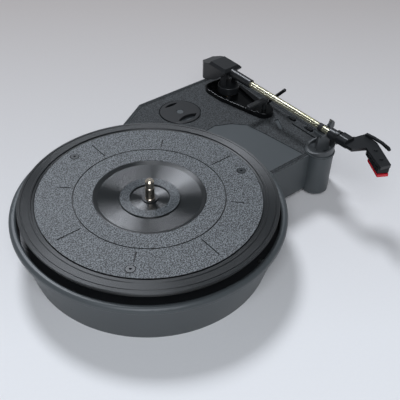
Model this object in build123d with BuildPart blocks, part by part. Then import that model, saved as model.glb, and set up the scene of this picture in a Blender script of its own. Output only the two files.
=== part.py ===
"""Belt-drive record player deck: a round tub with its platter, a side deck with the tonearm.

Millimetres, +Z up. The origin is on the spindle's axis at the flat underside, +X runs towards
the tonearm and +Y towards the tonearm's pivot end. One STEP file is written for each piece.
"""
import os
from math import cos, radians, sin, sqrt

from build123d import *

os.makedirs("parts", exist_ok=True)

# ---------------------------------------------------------------- fits
run_gap = 0.05          # radial, a shaft that turns or slides in its hole
seat_gap = 0.02         # radial, a pin or screw that is held in its hole
side_gap = 0.3          # between faces that move past each other
rest_gap = 0.1          # under a part that rests on another

# ---------------------------------------------------------------- driving heights
deck_top_z = 42.0
mat_seat_z = deck_top_z + 8.5   # the platter's heights follow the mat's seat
mat_thick = 1.5
mat_top_z = mat_seat_z + mat_thick
arm_z = deck_top_z + 24.0       # the arm's axis and its level hinge

# ---------------------------------------------------------------- tub
tub_foot_r = 96.7       # outer radius at the underside
tub_rim_r = 108.15      # outer radius of the rolled rim
rim_crown_r = 104.75    # top of the roll
rim_mouth_r = 102.4     # inside edge of the rim
rim_top_z = deck_top_z + 1.0
rim_lip_z = rim_top_z - 5.0     # underside of the roll
rim_overhang = 2.0      # the roll stands out this far past the wall
tub_wall = 2.2
ledge_z = deck_top_z - 14.0     # the sub plate rests on this ledge
ledge_inner_r = 95.5
ledge_thick = 2.0
pillar_ring_r = 88.5    # screw pillars for the bottom cover
pillar_r = 4.5
pillar_count = 4
pillar_first_angle = 45.0
plate_screw_ring_r = 98.3
plate_screw_angles = (20.0, 110.0, 200.0, 290.0)
cover_thick = 3.0
screw_r = 1.5           # every thread-forming screw
screw_head_r = 2.8
screw_head_h = 1.8

# ---------------------------------------------------------------- deck
deck_plate = 2.5
deck_wall = 2.2
deck_foot_z = 6.0
deck_right_x = 183.4
deck_back_y = 122.0
deck_front_y = -31.5
deck_back_left_x = 77.4
shoulder_angle = 70.0   # where the deck's left edge runs into the rim
deck_corner_r = 6.0
border_first = 1.6      # two thin grooves follow the deck's edge
border_second = 3.4
border_width = 0.8
border_depth = 0.5
swing_floor_depth = 0.5

# ---------------------------------------------------------------- corner tower and arm rest
tower_x = 160.2
tower_y = -32.0
tower_r = 12.3
tower_foot_z = 3.0
tower_wall = 3.0
tower_cup_floor_z = deck_top_z - 12.0
tower_flange_r = 13.1
tower_flange_top_z = deck_top_z + 1.2
flange_thick = 1.4
rest_floor_z = deck_top_z - 0.4 # top of the plug that fills the tower's cup
column_x = 161.4
column_y = -32.6
column_width = 11.6
column_depth = 7.0
column_taper = 3.5
collar_r_out = 12.2     # the slanted guard around the column
collar_wall = 1.8
collar_low_z = tower_flange_top_z + 0.7
collar_high_z = tower_flange_top_z + 8.8
saddle_thick = 2.6
sleeve_wall = 0.5       # soft sleeve on the tube where it lies in the saddle
sleeve_length = 4.0
clip_thick = 3.0
clip_open_angle = 45.0
clip_pin_x = 165.8
clip_pin_z = arm_z - 4.5
clip_pin_r = 1.0

# ---------------------------------------------------------------- spindle and platter
spindle_r = 3.575       # the pin that enters a record's hole
journal_r = 4.0         # the thicker lower part that the platter turns on
spindle_top_z = mat_seat_z + 16.5
spindle_foot_z = ledge_z - 15.0
spindle_neck_z = spindle_top_z - 7.5
spindle_neck_h = 2.6
spindle_neck_cut = 0.45
plate_thick = 2.5
boss_r = 10.0
boss_h = 1.7
socket_r = 8.0
washer_h = 1.2
washer_r = 8.5
platter_r = 101.0
platter_edge_z = mat_seat_z - 0.2
platter_foot_z = mat_seat_z - 5.0
platter_foot_r = 98.5
platter_skin_z = mat_seat_z - 3.0   # underside of the thin outer disc
platter_core_z = mat_seat_z - 5.0   # underside of the thicker middle
platter_core_r = 28.0
hub_r = 9.0
drive_rim_r = 60.0
drive_rim_wall = 2.5
drive_rim_foot_z = mat_seat_z - 15.0
mat_outer_r = 87.7
mat_inner_r = 44.1
mat_edge_gap = 0.25
mat_ring_r = 59.2       # ring groove that shows the edge of a small record
mat_line_width = 0.9
mat_line_depth = 0.7
mark_start_r = 62.6
mark_long_r = 82.4
mark_short_r = 73.2
button_ring_r = 79.7
button_angles = (104.5, -15.0, -136.0)
button_r = 3.4
button_hole_r = 1.0
button_h = 1.7
dish_floor_r = 40.3
dish_floor_z = mat_seat_z - 0.2
cone_foot_r = 23.8
cone_foot_z = mat_seat_z - 1.9
label_ring_z = mat_seat_z - 0.5
label_ring_inner_r = 15.6
centre_floor_z = mat_seat_z - 2.3
shoulder_z = mat_seat_z - 0.5    # where the spindle steps down to the pin
clip_ring_r = 6.2
clip_ring_h = 1.0

# ---------------------------------------------------------------- motor and belt
motor_ring_r = 72.0
motor_angle = 180.0
motor_r = 16.0
motor_top_z = ledge_z - 2.5
motor_foot_z = motor_top_z - 19.0
motor_boss_r = 5.0
motor_boss_h = 1.5
motor_shaft_r = 1.0
motor_hole_ring_r = 11.5
motor_screw_count = 3
grommet_r = 3.5
pulley_r = 3.0
pulley_flange_r = 4.4
pulley_flange_h = 1.4
belt_foot_z = drive_rim_foot_z + 1.1
belt_height = 5.0
pulley_foot_z = belt_foot_z - 2.6
pulley_top_z = belt_foot_z + 6.9
belt_thick = 0.8

# ---------------------------------------------------------------- tonearm
pivot_x = 159.0
pivot_y = 88.0
base_height = 4.0
base_flange = 1.0
base_wall = 2.6
base_rounds = ((152.5, 99.0, 10.0), (166.0, 99.0, 10.0), (153.5, 84.0, 11.0))
well_nose_x = 160.0
well_nose_y = 58.0
well_nose_r = 5.5
lift_cap_x = 161.5
lift_cap_y = 40.5
lift_cap_r = 9.0
lift_cap_h = 5.4
bush_r = 6.0
bush_flange_r = 8.0
bush_flange_h = 1.0
bush_foot_z = deck_top_z - 6.0
arm_shaft_r = 3.0
arm_shaft_foot_z = deck_top_z - 16.0
turret_r = 10.2
turret_foot_z = deck_top_z + 2.6
turret_top_z = turret_foot_z + 7.4
yoke_gap = 12.0         # between the insides of the two cheeks
yoke_cheek = 2.0
yoke_half_width = 3.0
pivot_pin_r = 1.4
block_side_gap = 0.3
block_back_y = 97.0
collar_r = 4.1
collar_front_y = 57.5
tube_r = 2.8
sleeve_r = tube_r + sleeve_wall
tube_bore_r = 1.9
tube_socket = 17.0      # how far the tube reaches into the collar
flute_r = 0.45
flute_count = 8
housing_half_width = 10.8
housing_wall = 1.5
housing_front_y = 83.0
housing_top_z = arm_z + 5.5
housing_bevel = 2.4
housing_roof = 1.9
weight_half_width = 7.6
tube_front_y = -46.0
shell_socket_r = 4.8
shell_socket_back_y = -40.5
neck_half_width = 5.8
neck_top_z = arm_z + 4.4
plate_top_z = arm_z + 2.3
plate_foot_z = arm_z - 0.6
head_angle = 30.0       # the cartridge's line against the tube's
head_mid_x = 163.6
head_mid_y = -88.0
cartridge_length = 26.0
cartridge_width = 9.6
cartridge_screw_r = 0.9
cartridge_foot_z = arm_z - 6.4
holder_foot_z = arm_z - 9.4
stylus_tip_z = mat_top_z + 2.0

# ---------------------------------------------------------------- cueing lever and switches
side_slot_x = 176.3
lever_pin_y = 57.3
lever_pin_z = deck_top_z - 6.5
lever_rod_r = 1.6
lever_tilt = 40.5       # forward lean of the lowered lever
lever_length = 41.4
lever_hub_r = 3.4
lever_pin_r = 1.5
platform_top_z = arm_z - 8.0
platform_bar_h = 3.0
platform_rod_r = 2.2
speed_slot_y = 18.1
stop_slot_y = -3.4
switch_slot_length = 10.4
switch_slot_width = 4.2
switch_travel = 3.0
switch_depth = 9.0      # from the bracket to the deck's top
switch_length = 14.0    # of the switch body under the slot
switch_foot_z = deck_top_z - switch_depth
switch_screw_ys = (-14.0, 7.35, 28.7)
knob_length = 4.4
knob_width = 3.2
knob_top_z = deck_top_z + 1.4

# ---------------------------------------------------------------- adapter for large-hole records
adapter_x = 100.4
adapter_y = 89.2
adapter_r = 19.0
adapter_thick = 3.2
adapter_hole_r = 3.65
recess_gap = 0.8
recess_floor_z = deck_top_z - 2.8
recess_peg_r = 3.3

# ---------------------------------------------------------------- values that follow from those
deck_under_z = deck_top_z - deck_plate
tub_skirt_r = tub_rim_r - rim_overhang
tub_slope = (tub_skirt_r - tub_foot_r) / rim_lip_z
plate_top_level = ledge_z + plate_thick
hub_bore_r = journal_r + run_gap
washer_foot_z = plate_top_level + boss_h
hub_foot_z = washer_foot_z + washer_h + rest_gap
tube_back_y = collar_front_y + tube_socket
block_front_y = housing_front_y + housing_wall
motor_x = motor_ring_r * cos(radians(motor_angle))
motor_y = motor_ring_r * sin(radians(motor_angle))
cover_r = tub_foot_r - tub_wall - side_gap
seam_r = tub_rim_r - tub_wall - rim_overhang
shoulder = (seam_r * cos(radians(shoulder_angle)), seam_r * sin(radians(shoulder_angle)))


def wall_r(z):
    """Outer radius of the tub's sloping wall at height z."""
    return tub_foot_r + tub_slope * z


def polar(radius, angle):
    """Point at a radius and an angle in degrees about the spindle."""
    return (radius * cos(radians(angle)), radius * sin(radians(angle)))


def draw_deck(inset):
    """Deck outline on the active sketch, drawn this far inside the outer wall."""
    front_left = (sqrt(seam_r**2 - deck_front_y**2), deck_front_y)
    with BuildLine() as edge:
        Polyline(
            (0, 0), front_left, (deck_right_x, deck_front_y), (deck_right_x, deck_back_y),
            (deck_back_left_x, deck_back_y), shoulder, close=True)
    outline = make_face(edge.edges())
    fillet(outline.vertices().group_by(Axis.X)[-1], deck_corner_r)
    if inset > 0:
        offset(amount=-inset)


def turn_profile(points, mode=Mode.ADD):
    """Revolve a closed outline of (radius, height) points about the spindle's axis."""
    with BuildSketch(Plane.XZ) as section:
        with BuildLine():
            Polyline(*points, close=True)
        make_face()
    revolve(section.sketch, axis=Axis.Z, mode=mode)


def discs(places, radius, foot_z, height, mode=Mode.ADD):
    """Upright cylinders of one radius standing at foot_z."""
    with BuildSketch(Plane.XY.offset(foot_z)) as rings:
        with Locations(*places):
            Circle(radius)
    extrude(rings.sketch, amount=height, mode=mode)


def block(x_span, y_span, z_span, mode=Mode.ADD):
    """Rectangular block between two limits on each axis."""
    with BuildSketch(Plane.XY.offset(z_span[0])) as outline:
        with Locations(((x_span[0] + x_span[1]) / 2, (y_span[0] + y_span[1]) / 2)):
            Rectangle(x_span[1] - x_span[0], y_span[1] - y_span[0])
    extrude(outline.sketch, amount=z_span[1] - z_span[0], mode=mode)


def draw_slot(x, y, length, width):
    """Round-ended slot along Y on the active sketch."""
    with Locations((x, y)):
        SlotOverall(length, width, rotation=90)


def screws_down(places, head_foot_z, length):
    """Pan-head screws driven downwards, their heads resting at head_foot_z."""
    discs(places, screw_head_r, head_foot_z, screw_head_h)
    discs(places, screw_r, head_foot_z, -length)
    for x, y in places:
        block(
            (x - screw_head_r / 2, x + screw_head_r / 2), (y - 0.3, y + 0.3),
            (head_foot_z + screw_head_h - 0.8, head_foot_z + screw_head_h), Mode.SUBTRACT)
        block(
            (x - 0.3, x + 0.3), (y - screw_head_r / 2, y + screw_head_r / 2),
            (head_foot_z + screw_head_h - 0.8, head_foot_z + screw_head_h), Mode.SUBTRACT)


def screws_up(places, head_top_z, length):
    """Pan-head screws driven upwards, their heads bearing at head_top_z."""
    discs(places, screw_head_r, head_top_z, -screw_head_h)
    discs(places, screw_r, head_top_z, length)
    for x, y in places:
        block(
            (x - screw_head_r / 2, x + screw_head_r / 2), (y - 0.3, y + 0.3),
            (head_top_z - screw_head_h, head_top_z - screw_head_h + 0.8), Mode.SUBTRACT)
        block(
            (x - 0.3, x + 0.3), (y - screw_head_r / 2, y + screw_head_r / 2),
            (head_top_z - screw_head_h, head_top_z - screw_head_h + 0.8), Mode.SUBTRACT)


def save(builder, name):
    """Label a finished piece and write its STEP file."""
    builder.part.label = name
    export_step(builder.part, f"parts/{name}.step")


# ---------------------------------------------------------------- chassis
# One moulding: the tub's wall and rolled rim, the deck with its skirt, and the corner tower.
pillar_angles = [pillar_first_angle + 360 / pillar_count * i for i in range(pillar_count)]
pillar_places = [polar(pillar_ring_r, a) for a in pillar_angles]
plate_screw_places = [polar(plate_screw_ring_r, a) for a in plate_screw_angles]
board_x = 134.0
board_y = 30.0
board_length = 58.0
board_width = 40.0
board_top_z = deck_top_z - 9.0
board_thick = 1.6
board_inset = 4.0
board_boss_r = 3.0
board_places = [
    (board_x + sx * (board_width / 2 - board_inset), board_y + sy * (board_length / 2 - board_inset))
    for sx in (-1, 1) for sy in (-1, 1)]
switch_screw_places = [(side_slot_x, y) for y in switch_screw_ys]
lever_screw_places = [(168.6, 51.5), (168.6, 63.1)]
base_screw_places = [(151.0, 101.0), (170.5, 101.0), (151.0, 77.0), (lift_cap_x, lift_cap_y + 9.9)]

with BuildPart() as chassis:
    with BuildSketch(Plane.XY.offset(deck_foot_z)):
        draw_deck(0)
    extrude(amount=deck_top_z - deck_foot_z)
    with BuildSketch(Plane.XY.offset(deck_foot_z)):
        draw_deck(deck_wall)
    extrude(amount=deck_under_z - deck_foot_z, mode=Mode.SUBTRACT)
    # two thin grooves along the deck's edge
    for inset in (border_first, border_second):
        with BuildSketch(Plane.XY.offset(deck_top_z)):
            draw_deck(inset)
            offset(amount=-border_width, mode=Mode.SUBTRACT)
        extrude(amount=-border_depth, mode=Mode.SUBTRACT)
    # shallow floor that the tonearm sweeps over
    with BuildSketch(Plane.XY.offset(deck_top_z)):
        with BuildLine():
            Polyline(
                (seam_r - 20, deck_front_y + 5), (seam_r - 20, 49), (99, 51.3), (112, 52.6),
                (125.8, 46.2), (136.4, 36), (139.8, 15.1), (145, deck_front_y + 5), close=True)
        make_face()
    extrude(amount=-swing_floor_depth, mode=Mode.SUBTRACT)
    # the tub takes over inside the middle of its own wall
    turn_profile([
        (0, -1), (tub_foot_r - tub_wall / 2, -1), (tub_skirt_r - tub_wall / 2, rim_lip_z),
        (tub_skirt_r - tub_wall / 2, rim_top_z), (0, rim_top_z)], Mode.SUBTRACT)
    with BuildSketch(Plane.XZ):
        with BuildLine():
            Polyline(
                (rim_mouth_r, rim_top_z - 1.6), (wall_r(ledge_z) - tub_wall, ledge_z),
                (ledge_inner_r, ledge_z), (ledge_inner_r, ledge_z - ledge_thick),
                (wall_r(ledge_z - ledge_thick) - tub_wall, ledge_z - ledge_thick),
                (tub_foot_r - tub_wall, 0), (tub_foot_r, 0), (tub_skirt_r, rim_lip_z),
                (tub_rim_r - 0.5, rim_lip_z), (tub_rim_r, rim_lip_z + 0.8),
                (tub_rim_r, rim_top_z - 2.4))
            ThreePointArc(
                (tub_rim_r, rim_top_z - 2.4), (tub_rim_r - 1.1, rim_top_z - 0.6),
                (rim_crown_r, rim_top_z))
            ThreePointArc(
                (rim_crown_r, rim_top_z), (rim_mouth_r + 0.6, rim_top_z - 0.45),
                (rim_mouth_r, rim_top_z - 1.6))
        make_face()
    revolve(axis=Axis.Z)
    # pillars under the ledge take the cover's screws, each tied to the wall by a rib
    discs(pillar_places, pillar_r, cover_thick, ledge_z - cover_thick - ledge_thick / 2)
    for angle in pillar_angles:
        with BuildSketch(Plane.XY.offset(cover_thick)):
            with Locations(Location((*polar((pillar_ring_r + tub_foot_r) / 2, angle), 0), (0, 0, angle))):
                Rectangle(tub_foot_r - pillar_ring_r - tub_wall / 2, 3)
        extrude(amount=ledge_z - cover_thick - ledge_thick / 2)
    discs(pillar_places, screw_r + seat_gap, cover_thick, 16, Mode.SUBTRACT)
    discs(plate_screw_places, 3.0, ledge_z - 10, 10)
    discs(plate_screw_places, screw_r + seat_gap, ledge_z - 10, 10, Mode.SUBTRACT)
    # corner tower: a round post, open at the top, with a flange that laps the deck
    discs([(tower_x, tower_y)], tower_r, tower_foot_z, deck_top_z - tower_foot_z)
    discs([(tower_x, tower_y)], tower_flange_r, tower_flange_top_z - flange_thick, flange_thick)
    cup_r = tower_r - tower_wall
    discs([(tower_x, tower_y)], cup_r, tower_cup_floor_z, 30, Mode.SUBTRACT)
    discs([(tower_x, tower_y)], cup_r, tower_foot_z, tower_cup_floor_z - tower_foot_z - 3, Mode.SUBTRACT)
    # recess with its centre peg for the large-hole adapter
    discs(
        [(adapter_x, adapter_y)], adapter_r + recess_gap + 1.8, recess_floor_z - 2,
        deck_under_z - recess_floor_z + 3)
    discs([(adapter_x, adapter_y)], adapter_r + recess_gap, recess_floor_z, 10, Mode.SUBTRACT)
    discs([(adapter_x, adapter_y)], recess_peg_r, recess_floor_z - 1, adapter_thick + 1)
    # holes for the arm's bearing, its base screws, the cueing rod and the side slots
    discs([(pivot_x, pivot_y)], bush_r + seat_gap, deck_under_z - 1, 10, Mode.SUBTRACT)
    discs(base_screw_places, screw_r + 0.2, deck_under_z - 1, 10, Mode.SUBTRACT)
    discs([(lift_cap_x, lift_cap_y)], platform_rod_r + 0.6, deck_under_z - 1, 10, Mode.SUBTRACT)
    with BuildSketch(Plane.XY.offset(deck_under_z - 1)):
        draw_slot(side_slot_x, lever_pin_y - 2.4, 13.0, 2 * lever_rod_r + 1.2)
        for y in (speed_slot_y, stop_slot_y):
            draw_slot(side_slot_x, y, switch_slot_length, switch_slot_width)
        draw_slot(tower_x + 10.5, tower_y + 29.4, 30.0, 1.6)
    extrude(amount=10, mode=Mode.SUBTRACT)
    # slanting finger recess beside the lift cap
    with BuildSketch(Plane.XY.offset(deck_top_z)):
        with BuildLine():
            Polyline((162.4, 26.4), (165.7, 25.4), (158.2, 11.4), (155.1, 12.6), close=True)
        make_face()
    extrude(amount=-1.0, mode=Mode.SUBTRACT)
    # bosses under the deck carry the circuit board
    discs(
        switch_screw_places + lever_screw_places, screw_r + seat_gap, deck_under_z - 1, 2.8, Mode.SUBTRACT)
    discs(board_places, board_boss_r, board_top_z, deck_under_z - board_top_z)
    discs(board_places, screw_r + seat_gap, board_top_z, deck_under_z - board_top_z - 1, Mode.SUBTRACT)
save(chassis, "chassis")

# ---------------------------------------------------------------- sub plate, cover and their screws
motor_hole_places = [
    (motor_x + motor_hole_ring_r * cos(radians(a)), motor_y + motor_hole_ring_r * sin(radians(a)))
    for a in [60 + 360 / motor_screw_count * i for i in range(motor_screw_count)]]

with BuildPart() as sub_plate:
    plate_r = wall_r(ledge_z) - tub_wall - side_gap
    discs([(0, 0)], plate_r, ledge_z, plate_thick)
    discs([(0, 0)], boss_r, plate_top_level, boss_h)
    discs([(0, 0)], socket_r, spindle_foot_z - 1, ledge_z - spindle_foot_z + 1)
    discs([(0, 0)], journal_r + seat_gap, spindle_foot_z, 30, Mode.SUBTRACT)
    # stiffening ring and the motor's seat
    with BuildSketch(Plane.XY.offset(plate_top_level)):
        Circle(drive_rim_r - 18)
        Circle(drive_rim_r - 20, mode=Mode.SUBTRACT)
    extrude(amount=1.6)
    discs([(motor_x, motor_y)], pulley_flange_r + 1.2, ledge_z - 1, 10, Mode.SUBTRACT)
    discs(motor_hole_places, screw_r + 0.2, ledge_z - 1, 10, Mode.SUBTRACT)
    discs(plate_screw_places, screw_r + 0.2, ledge_z - 1, 10, Mode.SUBTRACT)
    # cooling windows
    with BuildSketch(Plane.XY.offset(ledge_z)):
        with PolarLocations(30, 6, start_angle=30):
            SlotOverall(16, 6, rotation=90)
    extrude(amount=plate_thick, mode=Mode.SUBTRACT)
save(sub_plate, "sub_plate")

with BuildPart() as plate_screws:
    screws_down(plate_screw_places, plate_top_level, 10)
save(plate_screws, "plate_screws")

cover_head_recess = screw_head_h + 0.2
with BuildPart() as bottom_cover:
    discs([(0, 0)], cover_r, 0, cover_thick)
    discs(pillar_places, screw_head_r + 0.3, 0, cover_head_recess, Mode.SUBTRACT)
    discs(pillar_places, screw_r + 0.2, 0, cover_thick, Mode.SUBTRACT)
    for ring_r in (20, 34, 48, 62):
        with BuildSketch(Plane.XY):
            with PolarLocations(ring_r, 12):
                SlotOverall(ring_r * 0.28, 2.4, rotation=90)
        extrude(amount=cover_thick, mode=Mode.SUBTRACT)
save(bottom_cover, "bottom_cover")

with BuildPart() as cover_screws:
    screws_up(pillar_places, cover_head_recess, 12)
save(cover_screws, "cover_screws")

# ---------------------------------------------------------------- spindle and its washers
with BuildPart() as spindle:
    neck_r = spindle_r - spindle_neck_cut
    neck_top = spindle_neck_z + spindle_neck_h
    turn_profile([
        (0, spindle_foot_z), (journal_r, spindle_foot_z), (journal_r, shoulder_z - 0.3),
        (journal_r - 0.3, shoulder_z), (spindle_r, shoulder_z), (spindle_r, spindle_neck_z),
        (neck_r, spindle_neck_z + 0.4), (neck_r, neck_top - 0.4), (spindle_r, neck_top),
        (spindle_r, spindle_top_z - 1.3), (spindle_r - 1.1, spindle_top_z), (0.9, spindle_top_z),
        (0, spindle_top_z - 0.7)])
save(spindle, "spindle")

with BuildPart() as thrust_washer:
    with BuildSketch(Plane.XY.offset(washer_foot_z)):
        Circle(washer_r)
        Circle(hub_bore_r, mode=Mode.SUBTRACT)
    extrude(amount=washer_h)
save(thrust_washer, "thrust_washer")

with BuildPart() as spindle_clip:
    with BuildSketch(Plane.XY.offset(centre_floor_z + rest_gap)):
        Circle(clip_ring_r)
        Circle(journal_r + seat_gap, mode=Mode.SUBTRACT)
        with Locations((0, clip_ring_r - 1)):
            Rectangle(2.2, 4, mode=Mode.SUBTRACT)
    extrude(amount=clip_ring_h)
save(spindle_clip, "spindle_clip")

# ---------------------------------------------------------------- platter, mat and buttons
with BuildPart() as platter:
    seat_r = mat_outer_r + mat_edge_gap
    inner_seat_r = mat_inner_r - mat_edge_gap
    turn_profile([
        (hub_bore_r, hub_foot_z), (hub_r, hub_foot_z), (hub_r, platter_core_z),
        (platter_core_r, platter_core_z), (platter_core_r + 2, platter_skin_z),
        (drive_rim_r - drive_rim_wall, platter_skin_z), (drive_rim_r - drive_rim_wall, drive_rim_foot_z),
        (drive_rim_r, drive_rim_foot_z), (drive_rim_r, platter_skin_z),
        (platter_foot_r - 2.4, platter_skin_z), (platter_foot_r - 2.4, platter_foot_z),
        (platter_foot_r, platter_foot_z), (platter_r, platter_edge_z),
        (platter_r - 0.5, platter_edge_z + 0.7),
        (platter_r - 2.4, mat_top_z - 0.6), (platter_r - 2.7, mat_top_z - 1.0),
        (platter_r - 3.3, mat_top_z - 1.0), (platter_r - 3.6, mat_top_z - 0.5),
        (platter_r - 8.6, mat_top_z - 0.2), (platter_r - 9.2, mat_top_z + 0.4),
        (platter_r - 10.4, mat_top_z + 0.4), (platter_r - 10.8, mat_top_z - 0.7),
        (seat_r + 0.6, mat_top_z - 0.7), (seat_r, mat_seat_z),
        (inner_seat_r, mat_seat_z), (inner_seat_r, mat_top_z - 0.1), (inner_seat_r - 0.5, mat_top_z),
        (dish_floor_r + 0.4, dish_floor_z + 0.1), (dish_floor_r, dish_floor_z),
        (cone_foot_r, cone_foot_z), (cone_foot_r - 0.3, label_ring_z - 0.2),
        (cone_foot_r - 0.6, label_ring_z), (label_ring_inner_r + 0.3, label_ring_z),
        (label_ring_inner_r, label_ring_z - 0.3), (label_ring_inner_r - 0.3, centre_floor_z + 0.3),
        (clip_ring_r + 1.4, centre_floor_z), (hub_bore_r, centre_floor_z)])
    # ribs under the outer disc
    with BuildSketch(Plane.XY.offset(platter_foot_z)):
        with PolarLocations((drive_rim_r + platter_foot_r) / 2, 12):
            Rectangle(platter_foot_r - drive_rim_r - 3, 1.6)
    extrude(amount=platter_skin_z - platter_foot_z)
save(platter, "platter")

button_places = [polar(button_ring_r, a) for a in button_angles]
with BuildPart() as mat:
    with BuildSketch(Plane.XY.offset(mat_seat_z)):
        Circle(mat_outer_r)
        Circle(mat_inner_r, mode=Mode.SUBTRACT)
        with Locations(*button_places):
            Circle(button_r + 0.5, mode=Mode.SUBTRACT)
    extrude(amount=mat_thick)
    with BuildSketch(Plane.XY.offset(mat_top_z)):
        Circle(mat_ring_r + mat_line_width / 2)
        Circle(mat_ring_r - mat_line_width / 2, mode=Mode.SUBTRACT)
        for first_angle, end_r in ((0, mark_long_r), (45, mark_short_r)):
            with PolarLocations((mark_start_r + end_r) / 2, 4, start_angle=first_angle):
                Rectangle(end_r - mark_start_r, mat_line_width)
    extrude(amount=-mat_line_depth, mode=Mode.SUBTRACT)
save(mat, "mat")

with BuildPart() as mat_buttons:
    discs(button_places, button_r, mat_seat_z, button_h)
    discs(button_places, button_hole_r, mat_seat_z + 0.4, button_h, Mode.SUBTRACT)
save(mat_buttons, "mat_buttons")

# ---------------------------------------------------------------- motor, pulley and belt
with BuildPart() as motor:
    discs([(motor_x, motor_y)], motor_r, motor_foot_z, motor_top_z - motor_foot_z)
    fillet(motor.edges().filter_by(GeomType.CIRCLE), 1.2)
    discs([(motor_x, motor_y)], motor_boss_r, motor_top_z, motor_boss_h)
    discs([(motor_x, motor_y)], motor_shaft_r + run_gap, motor_top_z - 6, 10, Mode.SUBTRACT)
    discs(motor_hole_places, screw_r + seat_gap, motor_top_z - 6, 10, Mode.SUBTRACT)
save(motor, "motor")

with BuildPart() as motor_grommets:
    with BuildSketch(Plane.XY.offset(motor_top_z + rest_gap / 2)):
        with Locations(*motor_hole_places):
            Circle(grommet_r)
            Circle(screw_r + 0.15, mode=Mode.SUBTRACT)
    extrude(amount=ledge_z - motor_top_z - rest_gap)
save(motor_grommets, "motor_grommets")

with BuildPart() as motor_screws:
    screws_down(motor_hole_places, plate_top_level, plate_top_level - motor_top_z + 5)
save(motor_screws, "motor_screws")

with BuildPart() as motor_shaft:
    discs([(motor_x, motor_y)], motor_shaft_r, motor_top_z - 5.5, pulley_top_z - motor_top_z + 5.9)
save(motor_shaft, "motor_shaft")

with BuildPart() as motor_pulley:
    discs([(motor_x, motor_y)], pulley_r, pulley_foot_z, pulley_top_z - pulley_foot_z)
    discs([(motor_x, motor_y)], pulley_flange_r, pulley_foot_z, pulley_flange_h)
    discs([(motor_x, motor_y)], pulley_flange_r, pulley_top_z - pulley_flange_h, pulley_flange_h)
    discs([(motor_x, motor_y)], motor_shaft_r + seat_gap, pulley_foot_z, 20, Mode.SUBTRACT)
save(motor_pulley, "motor_pulley")

with BuildPart() as drive_belt:
    for clearance, mode in ((side_gap + belt_thick, Mode.ADD), (side_gap, Mode.SUBTRACT)):
        with BuildSketch(Plane.XY.offset(belt_foot_z)):
            Circle(drive_rim_r + clearance)
            with Locations((motor_x, motor_y)):
                Circle(pulley_r + clearance)
            make_hull()
        extrude(amount=belt_height, mode=mode)
save(drive_belt, "drive_belt")

# ---------------------------------------------------------------- circuit board
board_foot_z = board_top_z - board_thick
with BuildPart() as circuit_board:
    with BuildSketch(Plane.XY.offset(board_foot_z)):
        with Locations((board_x, board_y)):
            Rectangle(board_width, board_length)
        with Locations(*board_places):
            Circle(screw_r + 0.2, mode=Mode.SUBTRACT)
    extrude(amount=board_thick)
save(circuit_board, "circuit_board")

with BuildPart() as board_parts:
    # two capacitors, a regulator, a chip and two plug sockets hang under the board
    for dx, dy, radius, height in ((-10, -14, 4, 11), (2, -16, 3.2, 9)):
        discs([(board_x + dx, board_y + dy)], radius, board_foot_z - height, height)
    for dx, dy, sx, sy, height in (
            (12, -12, 4.6, 10, 12), (-4, 4, 8, 14, 3), (10, 8, 6, 16, 7), (-12, 10, 6, 9, 7)):
        block(
            (board_x + dx - sx / 2, board_x + dx + sx / 2), (board_y + dy - sy / 2, board_y + dy + sy / 2),
            (board_foot_z - height, board_foot_z))
save(board_parts, "board_parts")

with BuildPart() as board_screws:
    screws_up(board_places, board_foot_z, board_thick + 4)
save(board_screws, "board_screws")

# ---------------------------------------------------------------- arm base and bearing
base_floor_z = deck_top_z + base_flange


def draw_base(inset):
    """Rounded corners of the arm base behind its nose, drawn this far inside its edge."""
    for x, y, radius in base_rounds:
        with Locations((x, y)):
            Circle(radius - inset)


with BuildPart() as arm_base:
    with BuildSketch(Plane.XY.offset(deck_top_z)):
        draw_base(0)
        with Locations((lift_cap_x, lift_cap_y)):
            Circle(lift_cap_r)
        make_hull()
    extrude(amount=base_height)
    fillet(arm_base.faces().sort_by(Axis.Z)[-1].edges(), 1.0)
    with BuildSketch(Plane.XY.offset(base_floor_z)):
        draw_base(base_wall)
        with Locations((well_nose_x, well_nose_y)):
            Circle(well_nose_r)
        make_hull()
    extrude(amount=base_height, mode=Mode.SUBTRACT)
    discs([(lift_cap_x, lift_cap_y)], lift_cap_r, deck_top_z, lift_cap_h)
    fillet(arm_base.faces().filter_by(Plane.XY).sort_by(Axis.Z)[-1].edges(), 0.8)
    discs([(lift_cap_x, lift_cap_y)], platform_rod_r + run_gap, deck_top_z, 20, Mode.SUBTRACT)
    discs([(pivot_x, pivot_y)], bush_r + seat_gap, deck_top_z, 20, Mode.SUBTRACT)
    # stub bosses for the screws that come up through the deck
    discs(base_screw_places[:3], screw_r + 1.2, deck_top_z, base_height - 0.6)
    discs(base_screw_places, screw_r + seat_gap, deck_top_z, base_height - 1.2, Mode.SUBTRACT)
save(arm_base, "arm_base")

with BuildPart() as base_screws:
    screws_up(base_screw_places, deck_under_z, deck_plate + base_height - 1.6)
save(base_screws, "base_screws")

with BuildPart() as bearing_bush:
    discs([(pivot_x, pivot_y)], bush_r, bush_foot_z, base_floor_z - bush_foot_z)
    discs([(pivot_x, pivot_y)], bush_flange_r, base_floor_z, bush_flange_h)
    discs([(pivot_x, pivot_y)], arm_shaft_r + run_gap, bush_foot_z, 20, Mode.SUBTRACT)
save(bearing_bush, "bearing_bush")

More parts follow.
